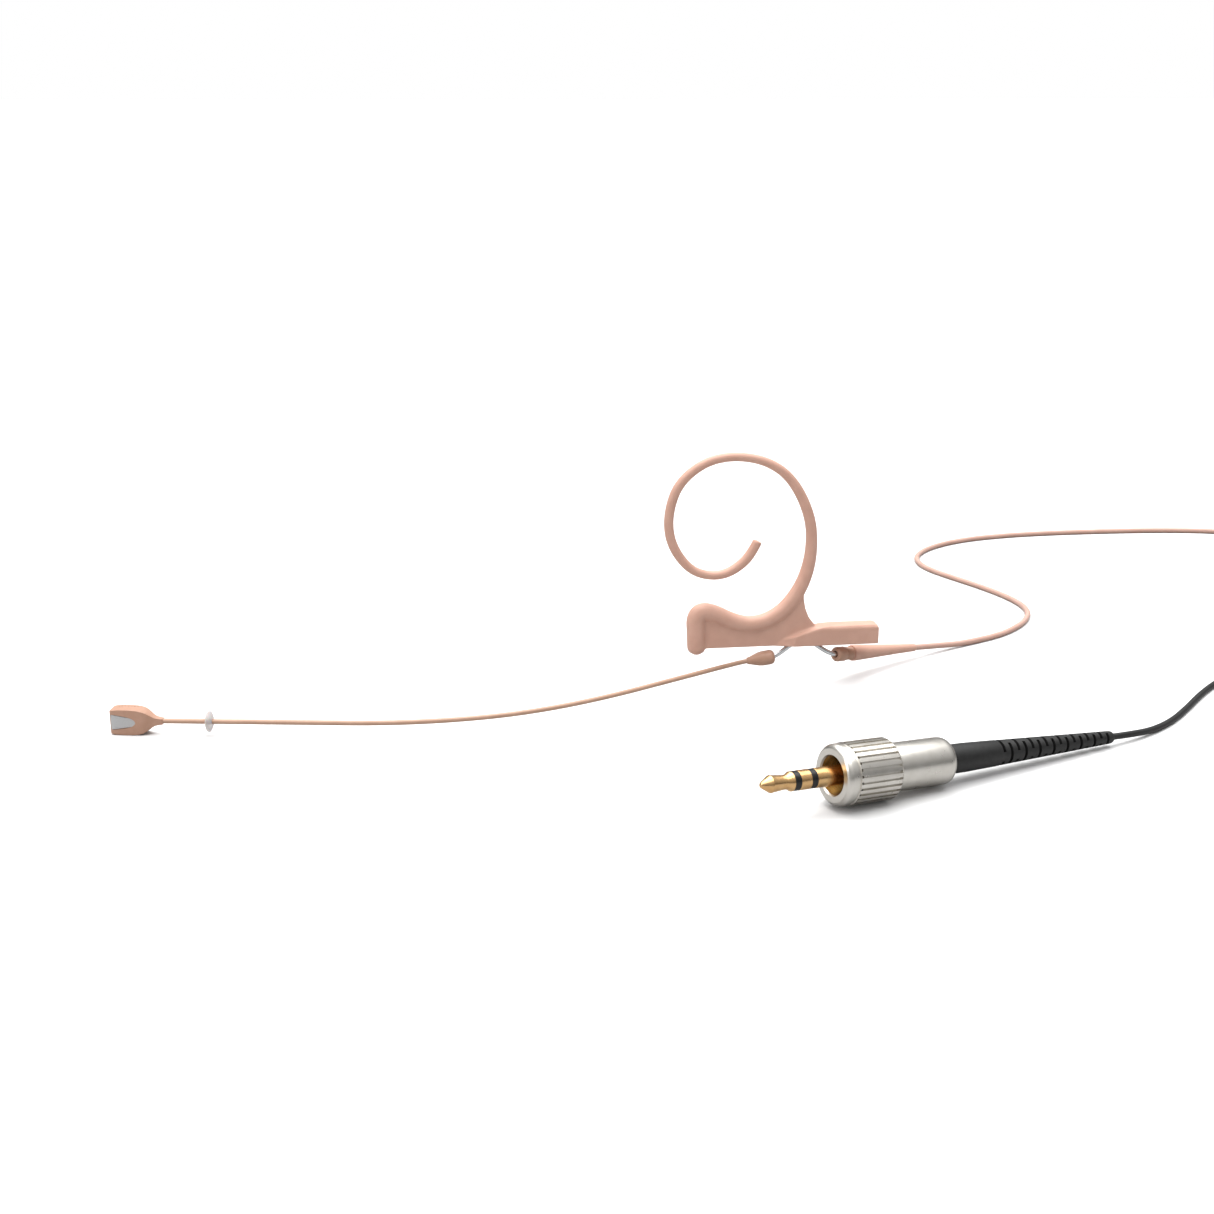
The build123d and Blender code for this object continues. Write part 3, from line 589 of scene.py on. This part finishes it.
webOutline = [(18.4, 8.5), (18.4, 14.6), (22.0, 14.9), (26.2, 13.6), (32.2, 13.4), (37.4, 17.0), (40.5, 21.0),
              (40.5, 18.6), (40.9, 16.4), (41.7, 14.4), (43.2, 12.5), (43.2, 8.5)]
hookWeb = hookPrism("hookWeb", webOutline, hookForm["webHalf"])
barOutline = [(34.6, 8.45), (56.4, 8.45), (56.4, 12.6), (42.6, 12.6), (36.4, 10.6)]
hookBar = hookPrism("hookBar", barOutline, hookForm["webHalf"])
swell = hookForm["barHalf"] - hookForm["webHalf"]
for side in (-1, 1):
    # each face comes out to the bar's thickness, and its left edge slides along, which leaves a long ramp
    pickFaces(hookBar, lambda centre, normal: normal.y * side > squareOn)
    bpy.ops.mesh.extrude_region_move(TRANSFORM_OT_translate={"value": spot(0, side * swell, 0)})
    bpy.ops.mesh.select_mode(type="VERT")
    for slide, top in ((hookForm["ramp"], math.inf), (hookForm["toeRamp"], hookForm["toeTop"])):
        bpy.ops.mesh.select_all(action="DESELECT")
        bpy.ops.object.mode_set(mode="OBJECT")
        for point in hookBar.data.vertices:
            place = point.co / mm
            proud = (place.y - hookForm["y"]) * side > hookForm["barHalf"] - 0.1
            point.select = proud and place.x < hookForm["x"] + hookForm["rampEnd"] and place.z < top
        bpy.ops.object.mode_set(mode="EDIT")
        bpy.ops.transform.translate(value=spot(slide, 0, 0))
    bpy.ops.object.mode_set(mode="OBJECT")
pickFaces(hookBar, lambda centre, normal: normal.z > squareOn)
bpy.ops.mesh.bevel(offset=hookForm["barEdge"] * mm, segments=4, affect="EDGES")
settle(hookBar, "hookBar")
earHook = joinAll([hookTube, hookWeb, hookBar], "earHook")
fuse(earHook, hookForm["voxel"], hookForm["soften"])
# the slot below the bar, where the hanger lies
slotOutline = [(36.6, 7.5), (45.5, 7.5), (45.5, 10.3), (39.2, 10.3), (37.8, 9.6)]
combine(earHook, hookPrism("slotCut", slotOutline, hookForm["slotHalf"]), "DIFFERENCE")
settle(earHook, "earHook", 60)
finishPiece(earHook, "soft", "beige_soft", "ear_hook", "ear_hook", "hook_wire")
print("ear hook done")

# boom, hanger and the two sleeves
boomForm = {"tube": 1.0, "hanger": 1.0, "stopFromNeck": 9.7}
boomPoints = [
    (46.6, 5.25, 5.63), (44.4, 5.25, 5.32), (42.1, 5.25, 5.0), (24.9, -4.4, 4.9), (14.0, -10.4, 4.8),
    (3.6, -14.7, 4.6), (-6.2, -17.1, 4.3), (-15.8, -17.8, 4.0), (-25.3, -17.4, 3.7), (-34.7, -15.9, 3.4),
    (-41.0, -14.53, 3.27), (-57.4, -10.97, 2.94), (-73.8, -7.4, 2.6), (-74.68, -7.21, 2.6),
]
boomTube = roundTube("boomTube", boomPoints, boomForm["tube"])
finishPiece(boomTube, "tube", "beige_metal", "microphone", "boom_tube")

sleeveStart = spot(43.7, 5.25, 5.22)
sleeveDir = Vector((5.7, 0, 0.8)).normalized()
reliefStart = spot(62.1, 5.25, 5.85)
reliefDir = (spot(83.5, 17.35, 2.5) - reliefStart).normalized()
hangerPoints = [tuple((sleeveStart + sleeveDir * along * mm) / mm) for along in (3.0, 4.6, 6.2)]
hangerPoints += [(53.3, 5.25, 8.75), (54.3, 5.25, 9.2), (55.2, 5.25, 9.2), (56.1, 5.25, 9.2),
                 (57.3, 5.25, 8.9), (60.2, 5.25, 6.75)]
hangerPoints += [tuple((reliefStart + reliefDir * along * mm) / mm) for along in (0.2, 2.4, 4.4)]
hangerTube = roundTube("hangerTube", hangerPoints, boomForm["hanger"])
finishPiece(hangerTube, "steel", "steel", "microphone", "hanger")

sleeveProfile = [(0, 0.52), (0, 0.66), (0.08, 0.72), (0.7, 0.86), (1.5, 1.12), (2.4, 1.4), (3.2, 1.53),
                 (3.8, 1.55), (4.9, 1.55), (5.3, 1.46), (5.6, 1.22), (5.78, 0.92), (5.8, 0.7), (5.7, 0.6),
                 (5.5, 0.52), (0, 0.52)]
bulb = turnedPiece("boomSleeve", sleeveProfile, sleeveStart, sleeveDir)
finishPiece(bulb, "abs", "beige_housing", "microphone", "boom_sleeve")

reliefProfile = [(0.95, 0.52), (0.5, 0.78), (0.45, 0.95), (0.5, 1.2), (0.62, 1.42), (0.8, 1.52), (1.1, 1.55),
                 (2.75, 1.55), (2.95, 1.5), (3.05, 1.38), (3.05, 0.52), (0.95, 0.52)]
reliefRing = turnedPiece("reliefRing", reliefProfile, reliefStart, reliefDir)
finishPiece(reliefRing, "abs", "beige_housing", "microphone", "relief_ring")
bushProfile = [(3.06, 0.52), (3.06, 1.3), (3.2, 1.39), (5.1, 1.39), (5.18, 1.3), (5.18, 1.02), (4.3, 1.02),
               (4.3, 0.52), (3.06, 0.52)]
reliefBush = turnedPiece("reliefBush", bushProfile, reliefStart, reliefDir)
finishPiece(reliefBush, "abs", "beige_housing", "microphone", "relief_bush")
coneProfile = [(5.2, 1.02), (5.2, 1.5), (5.3, 1.64), (5.5, 1.7), (6.2, 1.69), (9.0, 1.56), (14.0, 1.31),
               (19.5, 1.03), (24.3, 0.84), (24.7, 0.8), (24.8, 0.72), (24.8, 0.66), (8.05, 0.66),
               (8.05, 1.02), (5.2, 1.02)]
reliefCone = turnedPiece("reliefCone", coneProfile, reliefStart, reliefDir)
finishPiece(reliefCone, "soft", "beige_soft", "microphone", "relief_cone")

stopCentre = headNeck - boomEndDir * boomForm["stopFromNeck"] * mm
stopProfile = [(-0.3, 0.55), (-0.62, 0.58), (-0.65, 0.8), (-0.55, 1.25), (-0.38, 1.68), (-0.2, 1.98),
               (0, 2.08), (0.2, 1.98), (0.38, 1.68), (0.55, 1.25), (0.65, 0.8), (0.62, 0.58), (0.3, 0.55),
               (-0.3, 0.55)]
stop = turnedPiece("sweatStop", stopProfile, stopCentre, boomEndDir, smoothAngle=50)
finishPiece(stop, "silicone", "clear_soft", "stop", "sweat_stop")
print("boom done")

# capsule head: a flat spade, drawn from the side and from above, one skin with a tongue-shaped window
headForm = {
    "voxel": 0.07, "soften": 6, "halfThick": 1.58, "windowDepth": 0.42, "sideReach": 3, "planReach": 4,
    "vents": 7, "ventRadius": 0.13, "ventDepth": 0.5, "firstVent": 4.4, "ventPitch": 0.62,
}
headBack = Vector((headDir.y, -headDir.x, 0))


def headSpot(along, back=0.0, height=0.0):
    return headNeck + (headDir * along + headBack * back + up * height) * mm


sideHalf = [(-0.65, 0.58), (0.1, 0.66), (0.8, 0.82), (1.3, 1.08), (1.8, 1.46), (2.4, 1.88), (3.1, 2.22),
            (4.0, 2.46), (5.2, 2.56), (6.4, 2.58), (7.6, 2.55), (8.6, 2.46), (9.28, 2.38), (9.44, 2.22)]
planHalf = [(-0.65, 0.58), (0.1, 0.66), (0.8, 0.76), (1.4, 0.92), (2.2, 1.22), (3.0, 1.48), (3.8, 1.57),
            (5.0, 1.58), (8.6, 1.58), (9.2, 1.5), (9.46, 1.2)]
sideReach = headForm["sideReach"]
planReach = headForm["planReach"]


def facingLoop(half):
    # an outline seen from the side, its upper half mirrored below, in front of the head
    lower = [(along, -height) for along, height in reversed(half)]
    return [headSpot(along, -sideReach, height) for along, height in half + lower]


planLoop = [headSpot(along, back, -planReach) for along, back in planHalf]
planLoop += [headSpot(along, -back, -planReach) for along, back in reversed(planHalf)]
headShell = prism("headShell", facingLoop(sideHalf), headBack * 2 * sideReach * mm)
combine(headShell, prism("planCut", planLoop, up * 2 * planReach * mm), "INTERSECT")
fuse(headShell, headForm["voxel"], headForm["soften"])
windowHalf = [(9.9, 1.62), (8.4, 1.5), (7.0, 1.3), (5.9, 1.08), (5.1, 0.8), (4.55, 0.42), (4.35, 0)]
windowLoop = facingLoop(windowHalf)
windowLoop.pop(len(windowHalf))  # the point on the middle line comes once
windowReach = sideReach - headForm["halfThick"] + headForm["windowDepth"]
combine(headShell, prism("windowCut", windowLoop, headBack * windowReach * mm), "DIFFERENCE")
vents = []
for index in range(headForm["vents"]):
    clearSelection()
    bpy.ops.mesh.primitive_cylinder_add(
        vertices=12, radius=headForm["ventRadius"] * mm, depth=headForm["ventDepth"] * mm,
        location=headSpot(headForm["firstVent"] + index * headForm["ventPitch"], 0.75, 2.6))
    vents.append(bpy.context.object)
ventCutter = joinAll(vents, "ventCutter")
combine(headShell, ventCutter, "DIFFERENCE")
settle(headShell, "headShell", 55)
finishPiece(headShell, "abs", "beige_housing", "microphone",
            "head_front", "head_rear", "head_gasket", "head_collar")
print("head done")

# plug: contacts and insulators first, each a finish, a slot, a node and a profile of (along, radius)
contacts = {
    "plugTip": ("gold", "gold", "plug_tip", [
        (-14.6, 0), (-14.58, 0.22), (-14.42, 0.46), (-14.1, 0.68), (-12.75, 1.52), (-12.6, 1.56),
        (-12.45, 1.52),
        (-11.6, 1.44), (-10.6, 1.33), (-9.9, 1.28), (-9.4, 1.32), (-9.0, 1.5), (-8.75, 1.7), (-8.62, 1.74),
        (-8.45, 1.74), (-8.4, 1.68), (-8.4, 0.5), (5.0, 0.45), (5.0, 0)]),
    "plugInsulatorTip": ("insulator", "black_plastic", "plug_insulator_tip", [
        (-8.39, 0.5), (-8.39, 1.66), (-8.32, 1.72), (-7.22, 1.72), (-7.15, 1.66), (-7.15, 0.8), (4.5, 0.8),
        (4.5, 0.5), (-8.39, 0.5)]),
    "plugRing": ("gold", "gold", "plug_ring", [
        (-7.14, 0.82), (-7.14, 1.68), (-7.06, 1.75), (-5.08, 1.75), (-5.0, 1.68), (-5.0, 1.1), (4.0, 1.1),
        (4.0, 0.82), (-7.14, 0.82)]),
    "plugInsulatorSleeve": ("insulator", "black_plastic", "plug_insulator_sleeve", [
        (-4.99, 1.12), (-4.99, 1.66), (-4.92, 1.72), (-3.88, 1.72), (-3.81, 1.66), (-3.81, 1.34), (3.5, 1.34),
        (3.5, 1.12), (-4.99, 1.12)]),
    "plugSleeve": ("gold", "gold", "plug_sleeve", [
        (-3.8, 1.36), (-3.8, 1.68), (-3.72, 1.75), (7.2, 1.75), (7.2, 3.0), (8.4, 3.0), (8.4, 2.55),
        (11.4, 2.55), (11.4, 1.36), (-3.8, 1.36)]),
}
for name, (finish, recordSlot, node, profile) in contacts.items():
    contact = turnedPiece(name, profile, plugFront, plugDir, steps=64)
    finishPiece(contact, finish, recordSlot, "microphone", node)

# knurl: grooves from just behind the ring's nose to its back, each with a deeper pocket at its front end
ringForm = {
    "grooves": 30, "stepsPerGroove": 5, "grooveSteps": 2, "grooveFront": 2.5, "grooveBack": 11.0,
    "grooveDepth": 0.42, "grooveAbove": 5.3, "pocketBack": 3.05, "pocketDepth": 0.75, "pocketAbove": 4.9,
}
ringSteps = ringForm["grooves"] * ringForm["stepsPerGroove"]
ringProfile = [(0.0, 3.62), (0.0, 4.68), (0.1, 4.86), (0.32, 5.12), (0.7, 5.36), (1.0, 5.42), (1.95, 5.42),
               (2.1, 5.28), (2.35, 5.28), (2.45, 5.5), (3.1, 5.5), (11.0, 5.5), (11.3, 5.3), (11.3, 2.62),
               (8.5, 2.62), (8.5, 3.45), (0.35, 3.45), (0.0, 3.62)]
lockRing = turnedPiece("lockRing", ringProfile, plugFront, plugDir, steps=ringSteps, smoothAngle=25)
sideways = plugDir.cross(up).normalized()
upright = sideways.cross(plugDir).normalized()


def aroundPlug(centre):
    # distance along the plug, radius and angle of a place, in mm and degrees
    away = (centre - plugFront) / mm
    across, rise = away.dot(sideways), away.dot(upright)
    return away.dot(plugDir), math.hypot(across, rise), math.degrees(math.atan2(rise, across))


def inGroove(centre, normal, end, inner):
    # an outward face between the knurl's front and the given end, in one of the groove's steps
    along, radius, angle = aroundPlug(centre)
    step = 360 / ringSteps
    place = round((angle % 360 - step / 2) / step) % ringForm["stepsPerGroove"]
    outward = normal.dot(centre - plugFront - plugDir * along * mm) > 0 and abs(normal.dot(plugDir)) < 0.3
    inside = ringForm["grooveFront"] < along < end and radius > inner
    return outward and inside and place < ringForm["grooveSteps"]


for part in ("groove", "pocket"):
    end, inner, depth = (ringForm[part + what] for what in ("Back", "Above", "Depth"))
    pickFaces(lockRing, lambda centre, normal: inGroove(centre, normal, end, inner))
    bpy.ops.mesh.extrude_region_shrink_fatten(TRANSFORM_OT_shrink_fatten={"value": -depth * mm})
    bpy.ops.object.mode_set(mode="OBJECT")
settle(lockRing, "lockRing", 25)
finishPiece(lockRing, "nickel", "nickel", "lock_ring", "plug_lock_ring")

# the thread in the ring's bore, drawn as closed rings and not as a helix; its brass colour is darkened as
# painted shade of the deep bore
threadForm = {
    "turns": 12, "pitch": 0.55, "first": 0.5, "front": 0.36, "back": 7.1, "root": 3.3, "crest": 3.08,
    "bore": 3.44,
}
threadProfile = [(threadForm["front"], threadForm["bore"])]
for turn in range(threadForm["turns"]):
    at = threadForm["first"] + turn * threadForm["pitch"]
    threadProfile += [(at, threadForm["root"]), (at + threadForm["pitch"] / 2, threadForm["crest"])]
threadProfile += [(threadForm["back"], threadForm["root"]), (threadForm["back"], threadForm["bore"]),
                  (threadForm["front"], threadForm["bore"])]
thread = turnedPiece("lockThread", threadProfile, plugFront, plugDir, steps=64, smoothAngle=30)
# the darkened brass finish paints the bore's shade onto the thread
dress(thread, "brass")
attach(thread, "lock_ring")

shellProfile = [(11.42, 2.45), (11.42, 4.05), (11.55, 4.2), (11.75, 4.28), (12.2, 4.3), (22.6, 4.3),
                (23.3, 4.22), (23.8, 4.04), (24.15, 3.74), (24.36, 3.34), (24.4, 3.0), (24.38, 2.72),
                (22.9, 2.72), (22.9, 3.5), (12.6, 3.5), (12.6, 2.45), (11.42, 2.45)]
shell = turnedPiece("plugShell", shellProfile, plugFront, plugDir, steps=80)
finishPiece(shell, "nickel", "nickel", "microphone", "plug_shell")

# a boot that tapers evenly from taperFront to taperBack, its slots in pairs with a bridge between them
bootForm = {
    "slots": 16, "slotPitch": 1.72, "slotWidth": 0.62, "slotDepth": 0.62, "firstSlot": 36.0,
    "bridge": 26, "slotAbove": 1.0, "wideRadius": 2.65, "thinRadius": 1.2,
    "taperFront": 28.4, "taperBack": 63.9,
}
taper = (bootForm["wideRadius"] - bootForm["thinRadius"]) / (bootForm["taperBack"] - bootForm["taperFront"])
bootProfile = [(21.8, 0.66), (21.8, 3.2), (22.8, 3.2), (22.8, 2.65), (24.4, 2.65), (28.4, 2.64), (35.9, 2.37)]
for station in range(bootForm["slots"]):
    at = bootForm["firstSlot"] + station * bootForm["slotPitch"]
    for edge in (at, at + bootForm["slotWidth"]):
        bootProfile.append((edge, bootForm["wideRadius"] - (edge - bootForm["taperFront"]) * taper))
bootProfile += [(63.5, 1.2), (63.8, 1.1), (63.9, 0.95), (63.9, 0.66), (21.8, 0.66)]
boot = turnedPiece("plugBoot", bootProfile, plugFront, plugDir, steps=48, smoothAngle=30)


def inSlot(centre):
    # every other slot is turned a quarter round the plug, and the boot's bore is left alone
    along, radius, angle = aroundPlug(centre)
    station, share = divmod(along - bootForm["firstSlot"], bootForm["slotPitch"])
    if share > bootForm["slotWidth"] or radius < bootForm["slotAbove"]:
        return False
    if not 0 <= station < bootForm["slots"]:
        return False
    turned = (angle + (90 if station % 2 else 0)) % 180
    return bootForm["bridge"] < turned < 180 - bootForm["bridge"]


pickFaces(boot, lambda centre, normal: inSlot(centre))
bpy.ops.mesh.extrude_region_shrink_fatten(TRANSFORM_OT_shrink_fatten={"value": -bootForm["slotDepth"] * mm})
settle(boot, "plugBoot", 30)
finishPiece(boot, "boot", "black_soft", "microphone", "plug_boot")
print("plug done")

# coil tie: a soft strap round the turns
tieForm = {"x": 182.85, "y": 54.0, "middle": 3, "width": 2.0, "hollowWide": 0.9, "hollowHigh": 0.875}
strapOuter = [(-3.62, 0.8), (-3.2, 0.25), (-2.7, 0.03), (2.7, 0.03), (3.2, 0.25), (3.62, 0.8), (3.62, 5.2),
              (3.2, 5.75), (2.7, 5.97), (-2.7, 5.97), (-3.2, 5.75), (-3.62, 5.2)]


def tiePrism(name, width, wide=1.0, high=1.0):
    # the strap's outline about the middle of the turns, scaled, and as deep as the width along y
    return prism(name, [spot(tieForm["x"] + x * wide, tieForm["y"] - width / 2,
                             tieForm["middle"] + (z - tieForm["middle"]) * high) for x, z in strapOuter],
                 spot(0, width, 0))


strap = tiePrism("coilTie", tieForm["width"])
hollow = tiePrism("hollow", 2 * tieForm["width"], tieForm["hollowWide"], tieForm["hollowHigh"])
combine(strap, hollow, "DIFFERENCE")
settle(strap, "coilTie")
finishPiece(strap, "boot", "black_soft", "microphone", "coil_tie")

# floor and light
lighting = {
    "floorThrows": "#a6a6a6", "floorShows": "#f6f6f6",
    "sun": 3.3, "sunSpread": 85, "sunTowards": (0.05, -0.16, -1),
    "skyLow": (0.05, 0.1), "skyHigh": (0.85, 0.85),  # each a height and the grey there
    "boxes": (
        ((0.02, 0.12, 0.55), (0.06, -0.05, 0), (0.35, 0.12), 1.0),
        ((-0.55, -0.35, 0.35), (0.05, 0, 0.02), (0.2, 0.4), 0.9),
    ),
}
colourA, colourB, colourOut = 6, 7, 2  # places of a colour mix's sockets
bpy.ops.mesh.primitive_plane_add(size=30, location=(0.3, 10, 0))
floor = bpy.context.object
floor.name = "floor"
floorMaterial, floorTree, floorShader, _ = startMaterial("white table")
setShader(floorShader, Roughness=0.5, IOR=1.3)
# the table shows white, and throws back less light than it shows, so that fronts stay darker than tops
floorSeen = addNode(floorTree, "ShaderNodeLightPath").outputs["Is Camera Ray"]
floorMix = addNode(floorTree, "ShaderNodeMix", {"Factor": floorSeen}, data_type="RGBA")
floorMix.inputs[colourA].default_value = hexColour(lighting["floorThrows"])
floorMix.inputs[colourB].default_value = hexColour(lighting["floorShows"])
floorTree.links.new(floorMix.outputs[colourOut], floorShader.inputs["Base Color"])
floor.data.materials.append(floorMaterial)

bpy.ops.object.light_add(type="SUN", location=(0, 0.4, 1))
key = bpy.context.object
key.data.energy = lighting["sun"]
key.data.angle = math.radians(lighting["sunSpread"])
key.rotation_euler = Vector(lighting["sunTowards"]).to_track_quat("-Z", "Y").to_euler()


def softbox(place, aim, size, watts):
    bpy.ops.object.light_add(type="AREA", location=place)
    light = bpy.context.object
    light.data.shape = "RECTANGLE"
    light.data.size, light.data.size_y = size
    light.data.energy = watts
    light.rotation_euler = (Vector(aim) - Vector(place)).to_track_quat("-Z", "Y").to_euler()


for box in lighting["boxes"]:
    softbox(*box)
# the camera sees a white world, and the metal sees one that darkens towards the horizon
world = bpy.data.worlds.new("studio")
scene.world = world
world.use_nodes = True
skyTree = world.node_tree
background = skyTree.nodes["Background"]
direction = addNode(skyTree, "ShaderNodeTexCoord").outputs["Generated"]
heights = addNode(skyTree, "ShaderNodeSeparateXYZ", {"Vector": direction}).outputs["Z"]
ramp = addNode(skyTree, "ShaderNodeValToRGB", {"Fac": heights})
for element, (height, grey) in zip(ramp.color_ramp.elements, (lighting["skyLow"], lighting["skyHigh"])):
    element.position = height
    element.color = (grey, grey, grey, 1)
seen = addNode(skyTree, "ShaderNodeLightPath").outputs["Is Camera Ray"]
mixed = addNode(skyTree, "ShaderNodeMix", {"Factor": seen}, data_type="RGBA")
skyTree.links.new(ramp.outputs["Color"], mixed.inputs[colourA])
mixed.inputs[colourB].default_value = (1, 1, 1, 1)
skyTree.links.new(mixed.outputs[colourOut], background.inputs["Color"])
background.inputs["Strength"].default_value = 1.0
print("stage done")
